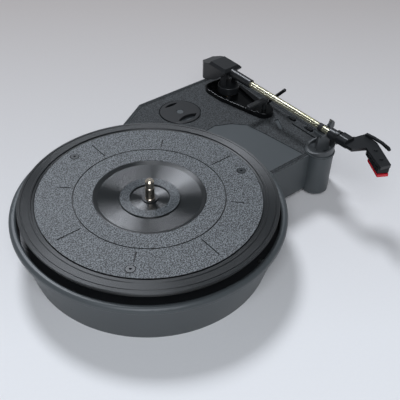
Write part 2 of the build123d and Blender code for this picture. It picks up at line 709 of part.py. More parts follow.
# ---------------------------------------------------------------- turning part of the arm
cheek_out = yoke_gap / 2 + yoke_cheek
with BuildPart() as arm_turret:
    discs([(pivot_x, pivot_y)], turret_r, turret_foot_z, turret_top_z - turret_foot_z)
    fillet(arm_turret.faces().sort_by(Axis.Z)[-1].edges(), 0.8)
    for side in (-1, 1):
        inner = pivot_x + side * yoke_gap / 2
        with BuildSketch(Plane(origin=(inner, pivot_y, arm_z), x_dir=(0, 1, 0), z_dir=(1, 0, 0))):
            Circle(yoke_half_width)
            with Locations((0, (turret_top_z - 1 - arm_z) / 2)):
                Rectangle(2 * yoke_half_width, arm_z - turret_top_z + 1)
        extrude(amount=side * yoke_cheek)
    with BuildSketch(Plane(origin=(pivot_x, pivot_y, arm_z), x_dir=(0, 1, 0), z_dir=(1, 0, 0))):
        Circle(pivot_pin_r + seat_gap)
    extrude(amount=cheek_out + 1, both=True, mode=Mode.SUBTRACT)
    discs([(pivot_x, pivot_y)], arm_shaft_r + seat_gap, turret_foot_z, 5, Mode.SUBTRACT)
save(arm_turret, "arm_turret")

with BuildPart() as arm_shaft:
    discs([(pivot_x, pivot_y)], arm_shaft_r, arm_shaft_foot_z, turret_foot_z + 4.9 - arm_shaft_foot_z)
save(arm_shaft, "arm_shaft")

cam_top_z = bush_foot_z - 1.4
with BuildPart() as shaft_clip:
    with BuildSketch(Plane.XY.offset(cam_top_z + rest_gap)):
        with Locations((pivot_x, pivot_y)):
            Circle(arm_shaft_r + 2.2)
            Circle(arm_shaft_r + seat_gap, mode=Mode.SUBTRACT)
    extrude(amount=bush_foot_z - cam_top_z - 2 * rest_gap)
save(shaft_clip, "shaft_clip")

with BuildPart() as stop_cam:
    with BuildSketch(Plane.XY.offset(cam_top_z - 4)):
        with Locations((pivot_x, pivot_y)):
            Circle(6.5)
        with Locations((pivot_x - 10, pivot_y - 6)):
            Circle(2.5)
        make_hull()
        with Locations((pivot_x, pivot_y)):
            Circle(arm_shaft_r + seat_gap, mode=Mode.SUBTRACT)
    extrude(amount=4)
save(stop_cam, "stop_cam")

block_half = yoke_gap / 2 - block_side_gap
with BuildPart() as pivot_screws:
    for side in (-1, 1):
        with BuildSketch(Plane(origin=(pivot_x + side * (block_half - 3), pivot_y, arm_z), z_dir=(1, 0, 0))):
            Circle(pivot_pin_r)
        extrude(amount=side * (cheek_out - block_half + 3.2))
save(pivot_screws, "pivot_screws")

# ---------------------------------------------------------------- lifting part of the arm
with BuildPart() as pivot_block:
    block(
        (pivot_x - block_half, pivot_x + block_half), (block_front_y, block_back_y),
        (arm_z - 4.6, arm_z + 2.6))
    with BuildSketch(Plane(origin=(pivot_x, block_front_y + 1, arm_z), x_dir=(1, 0, 0), z_dir=(0, -1, 0))):
        Circle(collar_r)
    extrude(amount=block_front_y + 1 - collar_front_y)
    chamfer(pivot_block.faces().sort_by(Axis.Y)[0].edges(), 0.5)
    with BuildSketch(Plane(origin=(pivot_x, collar_front_y, arm_z), x_dir=(1, 0, 0), z_dir=(0, 1, 0))):
        Circle(tube_r + seat_gap)
    extrude(amount=tube_socket, mode=Mode.SUBTRACT)
    with BuildSketch(Plane(origin=(pivot_x, pivot_y, arm_z), z_dir=(1, 0, 0))):
        Circle(pivot_pin_r + run_gap)
    extrude(amount=block_half, both=True, mode=Mode.SUBTRACT)
save(pivot_block, "pivot_block")

# side view of the housing: a level top with a bevelled brow, an underside that slants back, a drooping tail
with BuildPart() as arm_housing:
    with BuildSketch(Plane.YZ.offset(pivot_x - housing_half_width)):
        with BuildLine():
            Polyline(
                (housing_front_y, arm_z + 1.6), (housing_front_y, arm_z + 3.0),
                (housing_front_y + 2.2, housing_top_z), (105.2, housing_top_z), (105.7, arm_z + 3.7),
                (119.8, arm_z - 0.4), (117.6, arm_z - 16.4), (107.0, arm_z - 14.7), (95.0, arm_z - 8.6),
                close=True)
        make_face()
    extrude(amount=2 * housing_half_width)
    # the rear corners are cut away at a slant
    with BuildSketch(Plane.XY.offset(deck_top_z)):
        for side in (-1, 1):
            with BuildLine():
                Polyline(
                    (pivot_x + side * 6.4, 125), (pivot_x + side * 6.4, 119.9),
                    (pivot_x + side * (housing_half_width + 0.1), 113.4),
                    (pivot_x + side * (housing_half_width + 4), 113.4),
                    (pivot_x + side * (housing_half_width + 4), 125), close=True)
            make_face()
    extrude(amount=housing_top_z - deck_top_z + 1, mode=Mode.SUBTRACT)
    chamfer(arm_housing.edges().filter_by(Axis.Y).group_by(Axis.Z)[-1], housing_bevel)
    inner_half = housing_half_width - housing_wall
    with BuildSketch(Plane.YZ.offset(pivot_x - inner_half)):
        with BuildLine():
            Polyline(
                (block_front_y, arm_z - 14), (block_front_y, housing_top_z - housing_roof),
                (104, housing_top_z - housing_roof), (112.5, arm_z + 0.6), (112.5, arm_z - 12.6),
                (98.0, arm_z - 7.6), (98.0, arm_z - 5.8), (96.0, arm_z - 5.8), (96.0, arm_z - 14), close=True)
        make_face()
    extrude(amount=2 * inner_half, mode=Mode.SUBTRACT)
    with BuildSketch(Plane(origin=(pivot_x, housing_front_y - 1, arm_z), x_dir=(1, 0, 0), z_dir=(0, 1, 0))):
        Circle(collar_r + 0.05)
    extrude(amount=housing_wall + 2, mode=Mode.SUBTRACT)
save(arm_housing, "arm_housing")

with BuildPart() as counterweight:
    with BuildSketch(Plane.YZ.offset(pivot_x - weight_half_width)):
        with BuildLine():
            Polyline(
                (98.6, arm_z - 5.2), (98.6, arm_z + 1.0), (105.5, arm_z + 1.0), (111.8, arm_z - 1.0),
                (111.8, arm_z - 9.8), close=True)
        make_face()
    extrude(amount=2 * weight_half_width)
save(counterweight, "counterweight")

with BuildPart() as arm_tube:
    with BuildSketch(Plane(origin=(pivot_x, tube_back_y - 0.2, arm_z), x_dir=(1, 0, 0), z_dir=(0, -1, 0))):
        Circle(tube_r)
        with PolarLocations(tube_r, flute_count, start_angle=15):
            Circle(flute_r, mode=Mode.SUBTRACT)
        Circle(tube_bore_r, mode=Mode.SUBTRACT)
    extrude(amount=tube_back_y - 0.2 - tube_front_y)
save(arm_tube, "arm_tube")

with BuildPart() as tube_sleeve:
    with BuildSketch(Plane(origin=(pivot_x, tower_y + 3.8, arm_z), x_dir=(1, 0, 0), z_dir=(0, -1, 0))):
        Circle(sleeve_r)
        Circle(tube_r + seat_gap, mode=Mode.SUBTRACT)
    extrude(amount=sleeve_length)
save(tube_sleeve, "tube_sleeve")

# the cartridge, its holder and the stylus lie along the slanted head
head_right = (-cos(radians(head_angle)), sin(radians(head_angle)), 0)
head_ahead = (-sin(radians(head_angle)), -cos(radians(head_angle)), 0)


def head_plane(z):
    """Level plane over the head's middle, Y towards the front of the cartridge."""
    return Plane(origin=(head_mid_x, head_mid_y, z), x_dir=head_right, z_dir=(0, 0, 1))


screw_spots = [(0, -7.0), (0, 5.0)]
with BuildPart() as headshell:
    with BuildSketch(Plane(origin=(pivot_x, shell_socket_back_y, arm_z), x_dir=(1, 0, 0), z_dir=(0, -1, 0))):
        Circle(shell_socket_r)
    extrude(amount=shell_socket_back_y + 60)
    with BuildSketch(Plane(origin=(pivot_x, -51, 0), x_dir=(1, 0, 0), z_dir=(0, -1, 0))):
        with BuildLine():
            Polyline(
                (-neck_half_width, plate_foot_z), (-neck_half_width, neck_top_z - 0.8),
                (0.8 - neck_half_width, neck_top_z), (neck_half_width - 0.8, neck_top_z),
                (neck_half_width, neck_top_z - 0.8), (neck_half_width, plate_foot_z), close=True)
        make_face()
    extrude(amount=10)
    with BuildSketch(Plane.XY.offset(plate_foot_z)):
        with BuildLine():
            Polyline(
                (153.2, -56), (164.8, -56), (168.6, -59.4), (178.6, -61.8), (176.4, -76.2),
                (161.6, -102.0), (152.2, -99.2), (164.0, -75.0), (153.2, -69), close=True)
        make_face()
    extrude(amount=plate_top_z - plate_foot_z)
    with BuildSketch(Plane(origin=(pivot_x, shell_socket_back_y, arm_z), x_dir=(1, 0, 0), z_dir=(0, -1, 0))):
        Circle(tube_r + seat_gap)
    extrude(amount=shell_socket_back_y - tube_front_y + 0.2, mode=Mode.SUBTRACT)
    with BuildSketch(head_plane(plate_top_z)):
        with Locations(*screw_spots):
            Circle(cartridge_screw_r + seat_gap)
    extrude(amount=-5, mode=Mode.SUBTRACT)
save(headshell, "headshell")

with BuildPart() as lock_ring:
    with BuildSketch(Plane(origin=(pivot_x, -47.4, arm_z), x_dir=(1, 0, 0), z_dir=(0, -1, 0))):
        Circle(5.9)
        Circle(shell_socket_r + seat_gap, mode=Mode.SUBTRACT)
    extrude(amount=3.2)
save(lock_ring, "lock_ring")

with BuildPart() as finger_lift:
    with BuildSketch(Plane.YZ.offset(175.9)):
        with BuildLine():
            Polyline(
                (-63.4, plate_top_z), (-63.4, plate_top_z + 2.3), (-70, plate_top_z + 2.9),
                (-80, plate_top_z + 2.7), (-87.4, plate_top_z + 1.3), (-89.2, plate_top_z - 0.7),
                (-88.4, plate_top_z - 1.3), (-80, plate_top_z + 0.9), (-70, plate_top_z + 1.1),
                (-68, plate_top_z), close=True)
        make_face()
    extrude(amount=2.4)
save(finger_lift, "finger_lift")

with BuildPart() as cartridge:
    with BuildSketch(head_plane(cartridge_foot_z)):
        Rectangle(cartridge_width, cartridge_length)
    extrude(amount=plate_foot_z - cartridge_foot_z)
    chamfer(cartridge.faces().filter_by(GeomType.PLANE).sort_by(Axis.Z)[0].edges(), 0.6)
    with BuildSketch(head_plane(cartridge_foot_z + 2)):
        with Locations(*screw_spots):
            Circle(cartridge_screw_r + seat_gap)
    extrude(amount=10, mode=Mode.SUBTRACT)
save(cartridge, "cartridge")

with BuildPart() as cartridge_screws:
    with BuildSketch(head_plane(plate_top_z)):
        with Locations(*screw_spots):
            Circle(1.6)
    extrude(amount=0.9)
    with BuildSketch(head_plane(plate_top_z)):
        with Locations(*screw_spots):
            Circle(cartridge_screw_r)
    extrude(amount=cartridge_foot_z + 2.4 - plate_top_z)
save(cartridge_screws, "cartridge_screws")

with BuildPart() as stylus_holder:
    with BuildSketch(head_plane(holder_foot_z)):
        with Locations((0, 3.2)):
            Rectangle(9.4, 21.4)
    extrude(amount=cartridge_foot_z - holder_foot_z)
    chamfer(stylus_holder.faces().sort_by(Axis.Z)[0].edges(), 0.7)
    with BuildSketch(head_plane(holder_foot_z)):
        with Locations((0, 5.5)):
            Rectangle(2.2, 9.0)
    extrude(amount=1.6, mode=Mode.SUBTRACT)
save(stylus_holder, "stylus_holder")

# a thin cantilever slopes down to the tip
with BuildPart() as stylus:
    root_z = holder_foot_z + 0.8
    cantilever_root = head_plane(root_z).from_local_coords(Vector(0, 1.0, 0))
    with BuildSketch(Plane(cantilever_root, x_dir=head_right, z_dir=head_ahead)):
        Circle(0.5)
    extrude(amount=2.0)
    tube_start = head_plane(root_z).from_local_coords(Vector(0, 2.6, 0))
    tube_end = head_plane(stylus_tip_z + 0.7).from_local_coords(Vector(0, 9.4, 0))
    with BuildSketch(Plane(tube_start, x_dir=head_right, z_dir=tube_end - tube_start)):
        Circle(0.3)
    extrude(amount=(tube_end - tube_start).length)
    with BuildSketch(head_plane(stylus_tip_z)):
        with Locations((0, 9.2)):
            Circle(0.4)
    extrude(amount=1.0, taper=-8)
save(stylus, "stylus")

# ---------------------------------------------------------------- cueing lever and arm lift
hub_half = 1.7
with BuildPart() as lever_bracket:
    block((165.2, 179.2), (lever_pin_y - 9, lever_pin_y + 9), (deck_under_z - 1.4, deck_under_z))
    lug_in = hub_half + side_gap
    for x_in, x_out in ((side_slot_x - lug_in, side_slot_x - lug_in - 1.2), (side_slot_x + lug_in, 179.2)):
        block(
            (min(x_in, x_out), max(x_in, x_out)), (lever_pin_y - 4, lever_pin_y + 4),
            (lever_pin_z - 4, deck_under_z))
    with BuildSketch(Plane.XY.offset(deck_under_z - 2)):
        draw_slot(side_slot_x, lever_pin_y - 2.4, 13.0, 2 * lever_rod_r + 1.2)
        with Locations((side_slot_x, lever_pin_y)):
            Rectangle(2 * lug_in, 2 * lever_hub_r + 1)
    extrude(amount=3, mode=Mode.SUBTRACT)
    discs(lever_screw_places, screw_r + 0.2, deck_under_z - 3, 4, Mode.SUBTRACT)
    with BuildSketch(Plane(origin=(164, lever_pin_y, lever_pin_z), z_dir=(1, 0, 0))):
        Circle(lever_pin_r + seat_gap)
    extrude(amount=20, mode=Mode.SUBTRACT)
save(lever_bracket, "lever_bracket")

with BuildPart() as bracket_screws:
    screws_up(lever_screw_places, deck_under_z - 1.4, 3.0)
save(bracket_screws, "bracket_screws")

with BuildPart() as lever_pin:
    with BuildSketch(Plane(origin=(side_slot_x - 3.4, lever_pin_y, lever_pin_z), z_dir=(1, 0, 0))):
        Circle(lever_pin_r)
    extrude(amount=6.2)
save(lever_pin, "lever_pin")

lever_line = Plane(
    origin=(side_slot_x, lever_pin_y, lever_pin_z), x_dir=(1, 0, 0),
    z_dir=(0, -sin(radians(lever_tilt)), cos(radians(lever_tilt))))
with BuildPart() as cue_lever:
    with BuildSketch(Plane(origin=(side_slot_x, lever_pin_y, lever_pin_z), z_dir=(1, 0, 0))):
        Circle(lever_hub_r)
    extrude(amount=hub_half, both=True)
    with BuildSketch(lever_line):
        Circle(lever_rod_r)
    extrude(amount=lever_length)
    fillet(cue_lever.edges().sort_by(Axis.Z)[-1], 1.0)
    with BuildSketch(Plane(origin=(side_slot_x, lever_pin_y, lever_pin_z), z_dir=(1, 0, 0))):
        Circle(lever_pin_r + run_gap)
    extrude(amount=hub_half + 1, both=True, mode=Mode.SUBTRACT)
save(cue_lever, "cue_lever")

with BuildPart() as cue_platform:
    discs([(lift_cap_x, lift_cap_y)], platform_rod_r, deck_top_z - 10, platform_top_z - 2 - deck_top_z + 10)
    with BuildSketch(Plane.XY.offset(platform_top_z - platform_bar_h)):
        with Locations((152.5, lift_cap_y)):
            SlotOverall(26, 5.2)
    extrude(amount=platform_bar_h)
    fillet(cue_platform.faces().sort_by(Axis.Z)[-1].edges(), 0.8)
save(cue_platform, "cue_platform")

# ---------------------------------------------------------------- speed and stop switches
with BuildPart() as switch_bracket:
    block((side_slot_x - 2.9, side_slot_x + 2.9), (-17, 31.7), (switch_foot_z - 1.5, switch_foot_z))
    discs(switch_screw_places, 2.9, switch_foot_z, deck_under_z - switch_foot_z)
    discs(switch_screw_places, screw_r + 0.2, switch_foot_z - 2, 10, Mode.SUBTRACT)
save(switch_bracket, "switch_bracket")


def switch_body(y):
    """Box under one slot with a channel for its slider."""
    block(
        (side_slot_x - 2.9, side_slot_x + 2.9), (y - switch_length / 2, y + switch_length / 2),
        (switch_foot_z, deck_under_z))
    block(
        (side_slot_x - knob_width / 2 - side_gap, side_slot_x + knob_width / 2 + side_gap),
        (y - switch_slot_length / 2, y + switch_slot_length / 2), (switch_foot_z + 3, deck_under_z),
        Mode.SUBTRACT)


def switch_knob(y):
    """Slider at the front end of its travel, with two grip grooves on its top."""
    middle = y - switch_travel / 2
    block(
        (side_slot_x - knob_width / 2, side_slot_x + knob_width / 2),
        (middle - knob_length / 2, middle + knob_length / 2), (switch_foot_z + 3 + side_gap, knob_top_z))
    for groove_y in (middle - 0.8, middle + 0.8):
        block(
            (side_slot_x - knob_width, side_slot_x + knob_width), (groove_y - 0.2, groove_y + 0.2),
            (knob_top_z - 0.3, knob_top_z), Mode.SUBTRACT)


with BuildPart() as speed_switch:
    switch_body(speed_slot_y)
save(speed_switch, "speed_switch")

with BuildPart() as stop_switch:
    switch_body(stop_slot_y)
save(stop_switch, "stop_switch")

with BuildPart() as speed_slider:
    switch_knob(speed_slot_y)
save(speed_slider, "speed_slider")

with BuildPart() as stop_slider:
    switch_knob(stop_slot_y)
save(stop_slider, "stop_slider")

with BuildPart() as switch_screws:
    screws_up(switch_screw_places, switch_foot_z - 1.5, deck_under_z - switch_foot_z + 3.1)
save(switch_screws, "switch_screws")

# ---------------------------------------------------------------- arm rest in the tower
rest_side = Vector(0.81, -0.586, 0)
collar_mid_z = (collar_low_z + collar_high_z) / 2
collar_slope = (collar_high_z - collar_low_z) / (2 * collar_r_out)
with BuildPart() as arm_rest:
    # a guard around the foot, cut off at a slant so that it stands high on its outer side
    with BuildSketch(Plane.XY.offset(tower_flange_top_z)):
        with Locations((tower_x, tower_y)):
            Circle(collar_r_out)
            Circle(collar_r_out - collar_wall, mode=Mode.SUBTRACT)
    extrude(amount=collar_high_z - tower_flange_top_z)
    split(
        bisect_by=Plane(
            origin=(tower_x, tower_y, collar_mid_z), x_dir=(0.586, 0.81, 0),
            z_dir=Vector(0, 0, 1) - rest_side * collar_slope),
        keep=Keep.BOTTOM)
    # the plug fills the tower's cup and carries the guard's rim and the column
    discs(
        [(tower_x, tower_y)], tower_r - tower_wall - rest_gap, tower_cup_floor_z,
        rest_floor_z - tower_cup_floor_z)
    discs([(tower_x, tower_y)], collar_r_out - 0.2, tower_flange_top_z, 0.9)
    discs(
        [(tower_x, tower_y)], tower_r - tower_wall - rest_gap, rest_floor_z - 1,
        tower_flange_top_z - rest_floor_z + 1.5)
    with BuildSketch(Plane(origin=(column_x, column_y, rest_floor_z), x_dir=rest_side, z_dir=(0, 0, 1))):
        Rectangle(column_width, column_depth)
    saddle_top = arm_z - sleeve_r - side_gap
    extrude(amount=saddle_top - saddle_thick - rest_floor_z + 0.5, taper=column_taper)
    # finger hole in front of the column
    with BuildSketch(Plane(origin=(163.6, -38.6, tower_flange_top_z + 1), x_dir=rest_side, z_dir=(0, 0, 1))):
        SlotOverall(9.5, 4.6)
    extrude(amount=-6, mode=Mode.SUBTRACT)
    # saddle under the tube with a stop on the far side, and two lugs for the clip
    block((pivot_x - 5, 163.0), (tower_y - 4, tower_y + 5), (saddle_top - saddle_thick, saddle_top))
    block((162.4, 163.0), (tower_y - 4, tower_y + 4), (saddle_top, saddle_top + 2.0))
    for side in (-1, 1):
        y_in = tower_y + side * (clip_thick / 2 + side_gap)
        y_out = tower_y + side * 4.0
        block(
            (162.9, clip_pin_x + 2.2), (min(y_in, y_out), max(y_in, y_out)),
            (clip_pin_z - 2.4, clip_pin_z + 2.0))
    with BuildSketch(Plane(origin=(clip_pin_x, tower_y, clip_pin_z), z_dir=(0, 1, 0))):
        Circle(clip_pin_r + seat_gap)
    extrude(amount=5, both=True, mode=Mode.SUBTRACT)
    with BuildSketch(Plane(origin=(clip_pin_x, tower_y, clip_pin_z), z_dir=(0, 1, 0))):
        Circle(2.3)
    extrude(amount=clip_thick / 2 + side_gap, both=True, mode=Mode.SUBTRACT)
    # room for the clip's leaf, which hangs out to the side when it is open
    block(
        (clip_pin_x + 0.4, clip_pin_x + 8),
        (tower_y - clip_thick / 2 - side_gap, tower_y + clip_thick / 2 + side_gap),
        (clip_pin_z - 2.6, clip_pin_z + 5), Mode.SUBTRACT)
save(arm_rest, "arm_rest")

with BuildPart() as clip_pin:
    with BuildSketch(Plane(origin=(clip_pin_x, tower_y, clip_pin_z), z_dir=(0, 1, 0))):
        Circle(clip_pin_r)
    extrude(amount=4.4, both=True)
save(clip_pin, "clip_pin")

# the leaf-shaped clip stands open; turned in by its full angle its tip reaches over the tube
with BuildPart() as arm_clip:
    turned = radians(clip_open_angle)
    clip_plane = Plane(
        origin=(clip_pin_x, tower_y, clip_pin_z), x_dir=(cos(turned), 0, -sin(turned)),
        z_dir=(0, -1, 0))
    with BuildSketch(clip_plane):
        Circle(1.9)
        with BuildLine():
            Polyline(
                (-1.5, 0.6), (-1.3, 2.2), (-2.7, 3.6), (-2.8, 5.6), (-3.9, 7.5), (-4.6, 8.5), (-2.4, 9.1),
                (0.8, 8.6), (3.3, 6.2), (3.9, 3.2), (1.7, 0.6), close=True)
        make_face()
        Circle(clip_pin_r + run_gap, mode=Mode.SUBTRACT)
    extrude(amount=clip_thick / 2, both=True)
save(arm_clip, "arm_clip")

# ---------------------------------------------------------------- adapter disc
with BuildPart() as adapter_45:
    adapter_foot = recess_floor_z + rest_gap
    discs([(adapter_x, adapter_y)], adapter_r, adapter_foot, adapter_thick)
    chamfer(adapter_45.faces().sort_by(Axis.Z)[-1].edges(), 0.4)
    discs([(adapter_x, adapter_y)], adapter_hole_r, adapter_foot, adapter_thick, Mode.SUBTRACT)
    for offset_y in (-26, 30):
        with BuildSketch(Plane((adapter_x, adapter_y, adapter_foot))):
            Circle(15.5)
            with Locations((0, offset_y)):
                Circle(18, mode=Mode.INTERSECT)
        extrude(amount=adapter_thick, mode=Mode.SUBTRACT)
save(adapter_45, "adapter_45")
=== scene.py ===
from math import cos, radians, sin

import bpy
import numpy as np
from mathutils import Matrix, Vector

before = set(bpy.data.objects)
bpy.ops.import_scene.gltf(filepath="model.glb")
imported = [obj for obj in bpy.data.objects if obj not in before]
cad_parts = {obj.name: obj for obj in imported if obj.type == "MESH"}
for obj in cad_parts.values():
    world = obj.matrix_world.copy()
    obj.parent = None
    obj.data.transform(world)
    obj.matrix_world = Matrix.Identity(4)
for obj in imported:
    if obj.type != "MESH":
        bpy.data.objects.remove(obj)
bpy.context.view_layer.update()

# ---- Camera
# A short telephoto lens looks down over the tub from its front left, with the tonearm on the
# far right. The line of sight passes a little beside the spindle, and the camera rolls slightly.
aim = Vector((0, 0, 0.052))
distance = 0.52293
rise, turn, pan, tilt, roll = (radians(a) for a in (40.058, 35.5, 4.245, -0.540, -1.291))
from_aim = distance * Vector((-cos(rise) * sin(turn), -cos(rise) * cos(turn), sin(rise)))
ahead = -from_aim.normalized()
right = ahead.cross(Vector((0, 0, 1))).normalized()
up = right.cross(ahead)
ahead, right = ahead * cos(pan) + right * sin(pan), right * cos(pan) - ahead * sin(pan)
ahead, up = ahead * cos(tilt) + up * sin(tilt), up * cos(tilt) - ahead * sin(tilt)
right, up = right * cos(roll) + up * sin(roll), up * cos(roll) - right * sin(roll)
camera = bpy.data.objects.new("camera", bpy.data.cameras.new("camera"))
bpy.context.scene.collection.objects.link(camera)
turned = Matrix((right, up, -ahead)).transposed()
camera.matrix_world = Matrix.LocRotScale(aim + from_aim, turned, None)
camera.data.sensor_width = 36
camera.data.lens = 60.68
camera.data.clip_start = 0.01
camera.data.clip_end = 20
bpy.context.scene.camera = camera


# ---- Floor
# A seamless sheet of backdrop paper lies under the object, its colour painted from nearly white
# in front to a warm grey behind: a painted falloff of the light. Matt uncoated paper scatters
# light evenly.
def linear(hex_colour):
    """Linear RGBA of an sRGB colour such as "#8a8f94": the standard curve, channel by channel."""
    c = np.array([int(hex_colour[i:i + 2], 16) for i in (1, 3, 5)]) / 255
    c = np.where(c <= 0.04045, c / 12.92, ((c + 0.055) / 1.055) ** 2.4)
    return (*(float(v) for v in c), 1.0)


def feed(tree, node, inputs):
    """Sets a node's inputs, each to a value or from another node's output."""
    for name, value in inputs.items():
        if isinstance(value, bpy.types.NodeSocket):
            tree.links.new(value, node.inputs[name])
        else:
            node.inputs[name].default_value = value


def add(tree, kind, inputs, **settings):
    """Adds one node: settings are its properties, and inputs go to feed."""
    node = tree.nodes.new(kind)
    for name, value in settings.items():
        setattr(node, name, value)
    feed(tree, node, inputs)
    return node


def new_material(name):
    """Material with its tree, its Principled shader and its Object coordinates."""
    material = bpy.data.materials.new(name)
    material.use_nodes = True
    tree = material.node_tree
    place = add(tree, "ShaderNodeTexCoord", {}).outputs["Object"]
    return material, tree, tree.nodes["Principled BSDF"], place


def noise(tree, place, scale, detail=2.0, roughness=0.5, distortion=0.0):
    """Level of a noise over these coordinates, with scale grains to the metre."""
    inputs = {
        "Vector": place, "Scale": scale, "Detail": detail, "Roughness": roughness,
        "Distortion": distortion}
    return add(tree, "ShaderNodeTexNoise", inputs).outputs["Fac"]


def between(tree, value, start, end, low=0.0, high=1.0):
    """Level that goes from low to high while the value goes from start to end."""
    inputs = {"Value": value, "From Min": start, "From Max": end, "To Min": low, "To Max": high}
    return add(tree, "ShaderNodeMapRange", inputs).outputs["Result"]


def maths(tree, operation, *values):
    """Result of one sum on numbers or other nodes' outputs."""
    node = add(tree, "ShaderNodeMath", dict(enumerate(values)), operation=operation)
    return node.outputs["Value"]


def ramp(tree, level, dark, light, start=0.0, end=1.0):
    """Colour from dark to light, two hex colours, while the level goes from start to end."""
    node = add(tree, "ShaderNodeValToRGB", {"Fac": level})
    first, last = node.color_ramp.elements
    first.position, first.color = start, linear(dark)
    last.position, last.color = end, linear(light)
    return node.outputs["Color"]


paper, tree, shader, place = new_material("uncoated_paper")
towards_back = (0.58, 0.81, 0.0)
along = add(tree, "ShaderNodeVectorMath", {0: place, 1: towards_back}, operation="DOT_PRODUCT")
# painted light: the paper colour darkens towards the back where the light falls off
painted_light_falloff = between(tree, along.outputs["Value"], -0.10, 0.62)
fibres = maths(tree, "MULTIPLY", noise(tree, place, 400.0, detail=3.0), 0.05)
feed(tree, shader, {
    "Base Color": ramp(tree, maths(tree, "ADD", painted_light_falloff, fibres), "#e6e6e6", "#aea6a1"),
    "Roughness": 0.9,
    "Specular IOR Level": 0.2})
sheet_half = 4.0
corners = sheet_half * np.array([(-1, -1, 0), (1, -1, 0), (1, 1, 0), (-1, 1, 0)])
mesh = bpy.data.meshes.new("floor")
mesh.from_pydata(corners.tolist(), [], [(0, 1, 2, 3)])
mesh.materials.append(paper)
piece = bpy.data.objects.new("floor", mesh)
bpy.context.scene.collection.objects.link(piece)

# ---- Lights
# A far softbox behind the object throws its shadow towards the camera, a wide one over the
# camera brightens the near floor, and the room is dim overhead so that level tops stay dark.
for name, place_at, towards, size, power, colour in (
        ("softbox_back", (0.66, 2.20, 3.28), (0.03, 0.02, 0.04), 1.1, 100.0, "#f1f6ff"),
        ("softbox_front", (-0.70, -0.85, 1.25), (-0.10, -0.20, 0.0), 1.0, 17.0, "#eef3fb")):
    lamp = bpy.data.lights.new(name, "AREA")
    lamp.shape = "DISK"
    lamp.size = size
    lamp.energy = power
    lamp.color = linear(colour)[:3]
    box = bpy.data.objects.new(name, lamp)
    bpy.context.scene.collection.objects.link(box)
    box.location = place_at
    box.rotation_euler = (Vector(towards) - Vector(place_at)).to_track_quat("-Z", "Y").to_euler()
room = bpy.data.worlds.new("room")
room.use_nodes = True
sky = room.node_tree
heading = add(sky, "ShaderNodeTexCoord", {}).outputs["Generated"]
height = add(sky, "ShaderNodeSeparateXYZ", {"Vector": heading}).outputs["Z"]
feed(sky, sky.nodes["Background"], {
    "Color": ramp(sky, height, "#c9cdd2", "#5c5f63", end=0.55),
    "Strength": 0.75})
bpy.context.scene.world = room
bpy.context.scene.view_settings.view_transform = "Standard"


# ---- Chassis
# One injection moulding of charcoal ABS: the tub's wall with its rolled rim, the deck and the
# corner tower. The deck's top is spark-eroded to a fine grain, and the wall is plain satin.
def above_floor(tree, place):
    """Height above the floor."""
    return add(tree, "ShaderNodeSeparateXYZ", {"Vector": place}).outputs["Z"]


def from_spindle(tree, place):
    """Distance from the spindle's axis."""
    level = add(tree, "ShaderNodeVectorMath", {0: place, 1: (1, 1, 0)}, operation="MULTIPLY")
    inputs = {0: level.outputs["Vector"]}
    return add(tree, "ShaderNodeVectorMath", inputs, operation="LENGTH").outputs["Value"]


def blend(tree, share, first, second):
    """Colour that is the first at share 0 and the second at share 1."""
    inputs = {"Factor": share, 6: first, 7: second}
    return add(tree, "ShaderNodeMix", inputs, data_type="RGBA").outputs[2]


def relief(tree, height, strength, depth):
    """Normal of a surface whose height goes over this depth in metres."""
    inputs = {"Strength": strength, "Distance": depth, "Height": height}
    return add(tree, "ShaderNodeBump", inputs).outputs["Normal"]


def dress(names, material):
    """Gives CAD nodes this material in their own material slots."""
    for name in names:
        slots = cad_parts[name].data.materials
        slots.clear()
        slots.append(material)


abs_shell, tree, shader, place = new_material("moulded_ABS_shell")
radius, height = from_spindle(tree, place), above_floor(tree, place)
# the grain covers only the deck's top face: outside the tub and not on the rim above it
deck_face_start, deck_face = 0.04165, 0.04185
rim_start, rim = 0.0422, 0.0424
tub_edge, tub_clear = 0.1075, 0.1085
on_top = between(tree, height, deck_face_start, deck_face)
below_rim = between(tree, height, rim, rim_start)
outside = between(tree, radius, tub_edge, tub_clear)
grained = maths(tree, "MULTIPLY", maths(tree, "MULTIPLY", on_top, outside), below_rim)
# the grain is about 0.3 mm on the real face, drawn 0.8 mm wide so that it shows
grain = noise(tree, place, 1250.0, roughness=0.7)
speck = ramp(tree, grain, "#0b0c0d", "#4a4e50", 0.40, 0.64)
cloud = ramp(tree, noise(tree, place, 18.0, detail=4.0), "#3c4143", "#474c4e")
feed(tree, shader, {
    "Base Color": blend(tree, grained, cloud, speck),
    "Roughness": between(tree, grained, 0.0, 1.0, 0.42, 0.8),
    "Normal": relief(tree, maths(tree, "MULTIPLY", grain, grained), 0.8, 0.0004),
    "IOR": 1.52})
dress(["chassis"], abs_shell)

# ---- Sub plate, bottom cover and brackets
# Plain black ABS mouldings that hold the motor and close the tub. Untextured tool steel gives
# them an even low gloss with faint flow marks.
abs_inner, tree, shader, place = new_material("moulded_ABS_inner")
flow = noise(tree, place, 60.0, detail=4.0, distortion=1.0)
feed(tree, shader, {"Base Color": ramp(tree, flow, "#17181a", "#242628"), "Roughness": 0.42})
dress(
    ["sub_plate", "bottom_cover", "stop_cam", "switch_bracket", "speed_switch", "stop_switch",
     "lever_bracket", "spindle_clip", "motor_pulley", "board_parts"], abs_inner)

# ---- Screws, shafts and small steel parts
# Zinc-plated and ground steel: bright, and a little uneven in gloss, because the wheel leaves
# fine scratches 0.4 mm apart.
steel, tree, shader, place = new_material("ground_steel")
scratch = noise(tree, place, 2500.0)
feed(tree, shader, {
    "Base Color": linear("#b9bbbd"),
    "Metallic": 1.0,
    "Roughness": between(tree, scratch, 0.0, 1.0, 0.2, 0.42)})
dress(
    ["plate_screws", "cover_screws", "motor_shaft", "motor_screws", "board_screws", "base_screws",
     "arm_shaft", "shaft_clip", "pivot_screws", "bracket_screws", "switch_screws", "lever_pin",
     "clip_pin", "stylus"], steel)
